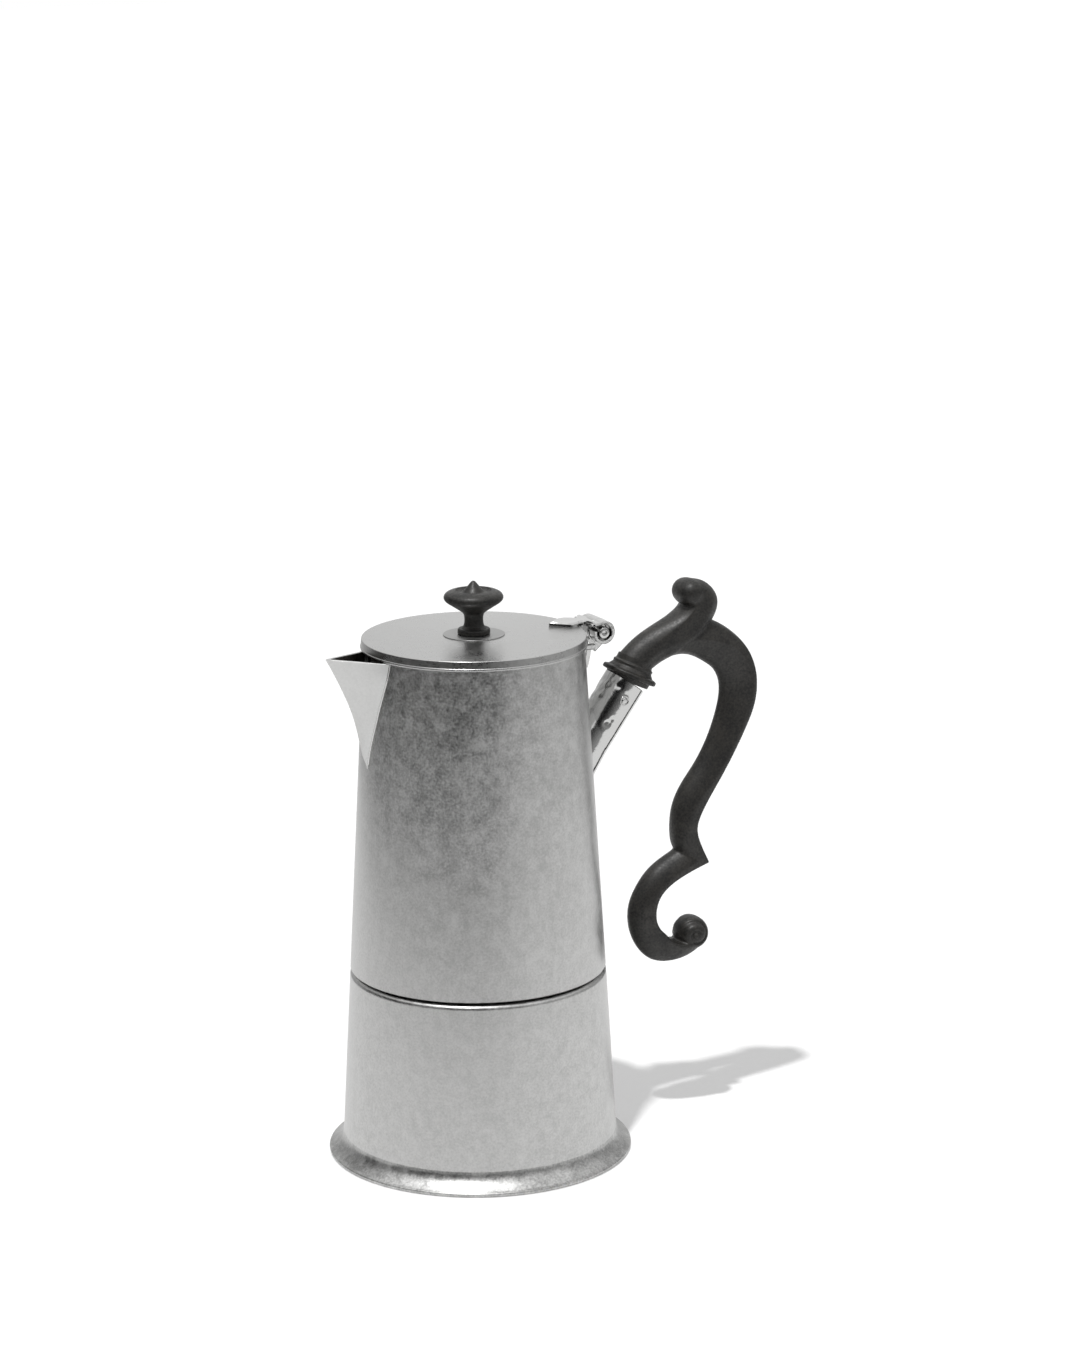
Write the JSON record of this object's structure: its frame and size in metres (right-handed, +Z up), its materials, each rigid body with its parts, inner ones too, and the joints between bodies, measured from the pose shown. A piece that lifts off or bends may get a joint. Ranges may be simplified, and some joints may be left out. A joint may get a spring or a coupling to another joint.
{
  "type": "stovetop espresso maker",
  "caption": "Tall tapered stovetop espresso maker: screw-together boiler and upper vessel, V spout, flat hinged lid with knob, scrolled handle, coffee basket and safety valve.",
  "frame": {"origin": "on the pot's axis, on the flat underside that it stands on", "axes": "+Z up along the pot's axis, spout along -X, handle along +X, safety valve along +Y"},
  "size_m": [0.1685, 0.11, 0.2105],
  "materials": {
    "satin_metal": "satin, rubbed to a soft pewter-like grey",
    "polished_metal": "polished",
    "turned_aluminium": "turned, plain",
    "steel_fittings": "plain",
    "brass_valve": "turned",
    "fibre_washer": "matt fibre",
    "seal_rubber": "matt",
    "black_handle": "matt, hand-carved and worn"
  },
  "bodies": {
    "boiler": {"boiler_shell": "satin_metal", "boiler_floor": "turned_aluminium", "boiler_shoulder": "satin_metal", "foot_ring": "satin_metal", "boiler_neck": "turned_aluminium", "valve_body": "brass_valve", "valve_washer": "fibre_washer", "valve_nut": "brass_valve", "valve_spring": "steel_fittings", "valve_cap": "brass_valve", "basket_cup": "turned_aluminium", "basket_funnel": "turned_aluminium", "basket_sieve": "turned_aluminium", "funnel_tube": "turned_aluminium"},
    "seal": {"gasket": "seal_rubber", "filter_plate": "turned_aluminium"},
    "upper_vessel": {"chamber_floor": "turned_aluminium", "threaded_skirt": "turned_aluminium", "upper_chamber": "satin_metal", "coffee_column": "turned_aluminium", "column_cap": "turned_aluminium", "spout": "polished_metal", "hinge_bracket": "polished_metal", "hinge_pin": "polished_metal", "handle_socket": "polished_metal", "handle": "black_handle", "handle_pin": "polished_metal"},
    "lid": {"lid_plate": "satin_metal", "lid_locating_ring": "turned_aluminium", "knob_rosette": "turned_aluminium", "lid_knob": "black_handle", "knob_screw": "steel_fittings", "knob_washer": "steel_fittings", "hinge_leaf": "polished_metal"},
    "plunger": {"valve_plunger": "brass_valve"}
  },
  "joints": [
    {"name": "top_rise", "type": "slide", "parent": "boiler", "child": "seal", "axis": [0, 0, 1], "range_m": [0, 0.0076]},
    {"name": "top_unscrew", "type": "hinge", "parent": "seal", "child": "upper_vessel", "pos_m": [0, 0, 0.068], "axis": [0, 0, 1], "range_deg": [0, 900]},
    {"name": "lid_hinge", "type": "hinge", "parent": "upper_vessel", "child": "lid", "pos_m": [0.048, 0, 0.18795], "axis": [0, 1, 0], "range_deg": [0, 105]},
    {"name": "valve_slide", "type": "slide", "parent": "boiler", "child": "plunger", "axis": [0, 1, 0], "range_m": [0, 0.0015], "stiffness_N_per_m": 400, "springref_m": -0.01, "deforming": ["valve_spring"]}
  ],
  "couplings": [
    {"joint": "top_rise", "follows": "top_unscrew", "m_per_rad": 0.00047746}
  ]
}
